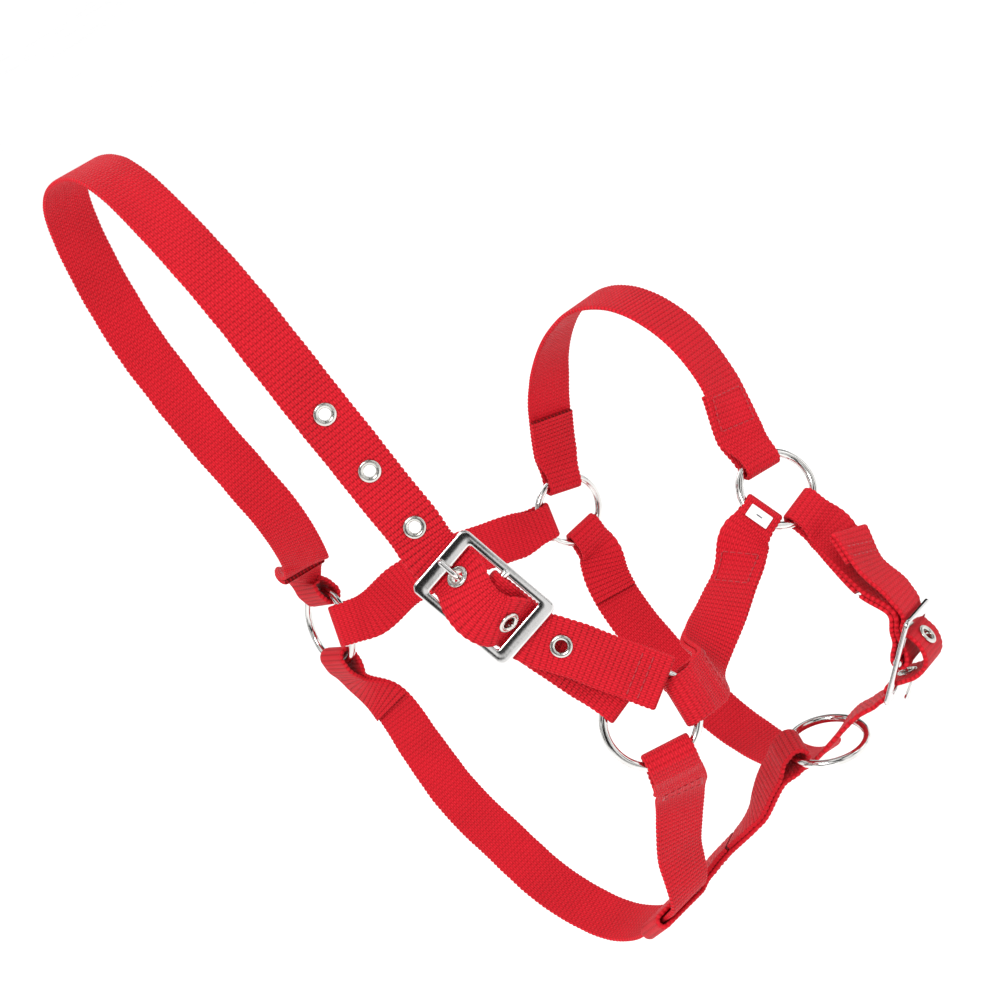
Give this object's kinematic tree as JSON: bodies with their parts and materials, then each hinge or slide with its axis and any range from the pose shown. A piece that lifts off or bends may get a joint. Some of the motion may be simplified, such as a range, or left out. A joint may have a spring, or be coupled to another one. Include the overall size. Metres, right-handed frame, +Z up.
{
  "type": "halter",
  "caption": "Webbing halter with crown, cheek, nose, chin and throat straps joined by wire rings, and tongue buckles at the crown and chin.",
  "frame": {"origin": "midway between the centres of the two cheek rings, inside the head opening", "axes": "+X toward the nose, +Y toward the horse's left, +Z up over the poll"},
  "size_m": [0.2219, 0.3301, 0.4656],
  "materials": {
    "webbing": "ribbed woven nylon",
    "ring_chrome": "bright nickel plate",
    "buckle_chrome": "bright nickel plate",
    "eyelet_nickel": "nickel plate",
    "label": "woven satin",
    "thread": "thread"
  },
  "bodies": {
    "webbing": {"crown_strap": "webbing", "crown_billet": "webbing", "left_cheek_strap": "webbing", "right_cheek_strap": "webbing", "noseband": "webbing", "throat_strap": "webbing", "chin_strap": "webbing", "chin_billet": "webbing", "connector_strap": "webbing", "crown_buckle_frame": "buckle_chrome", "chin_buckle_frame": "buckle_chrome", "crown_eyelets": "eyelet_nickel", "chin_eyelets": "eyelet_nickel", "size_label": "label", "crown_stitching": "thread", "cheek_stitching": "thread", "nose_stitching": "thread", "throat_stitching": "thread", "chin_stitching": "thread", "connector_stitching": "thread"},
    "left_cheek_ring": {"left_cheek_ring": "ring_chrome"},
    "right_cheek_ring": {"right_cheek_ring": "ring_chrome"},
    "left_nose_ring": {"left_nose_ring": "ring_chrome"},
    "right_nose_ring": {"right_nose_ring": "ring_chrome"},
    "lead_ring": {"lead_ring": "ring_chrome"},
    "crown_tongue": {"crown_buckle_tongue": "buckle_chrome"},
    "chin_tongue": {"chin_buckle_tongue": "buckle_chrome"}
  },
  "joints": [
    {"name": "left_cheek_ring_spin", "type": "hinge", "parent": "webbing", "child": "left_cheek_ring", "pos_m": [0.004, 0.144, 0.006], "axis": [0.9451, 0.0537, -0.3222], "continuous": true},
    {"name": "right_cheek_ring_spin", "type": "hinge", "parent": "webbing", "child": "right_cheek_ring", "pos_m": [-0.007, -0.145, -0.011], "axis": [-0.3902, -0.8704, 0.3002], "continuous": true},
    {"name": "left_nose_ring_spin", "type": "hinge", "parent": "webbing", "child": "left_nose_ring", "pos_m": [0.133, 0.078, -0.006], "axis": [-0.1512, -0.988, 0.0302], "continuous": true},
    {"name": "right_nose_ring_spin", "type": "hinge", "parent": "webbing", "child": "right_nose_ring", "pos_m": [0.141, -0.097, 0.006], "axis": [-0.11, -0.8703, 0.4801], "continuous": true},
    {"name": "lead_ring_swing", "type": "hinge", "parent": "webbing", "child": "lead_ring", "pos_m": [0.07056, -0.10372, -0.09954], "axis": [-0.5093, -0.8551, -0.0976], "range_deg": [-8, 2]},
    {"name": "crown_tongue_tilt", "type": "hinge", "parent": "webbing", "child": "crown_tongue", "pos_m": [-0.033, -0.118, 0.073], "axis": [0.8555, -0.4027, 0.3255], "range_deg": [0, 5]},
    {"name": "chin_tongue_tilt", "type": "hinge", "parent": "webbing", "child": "chin_tongue", "pos_m": [0.13, -0.145, -0.08], "axis": [-0.8553, -0.4506, 0.2558], "range_deg": [0, 4]}
  ]
}
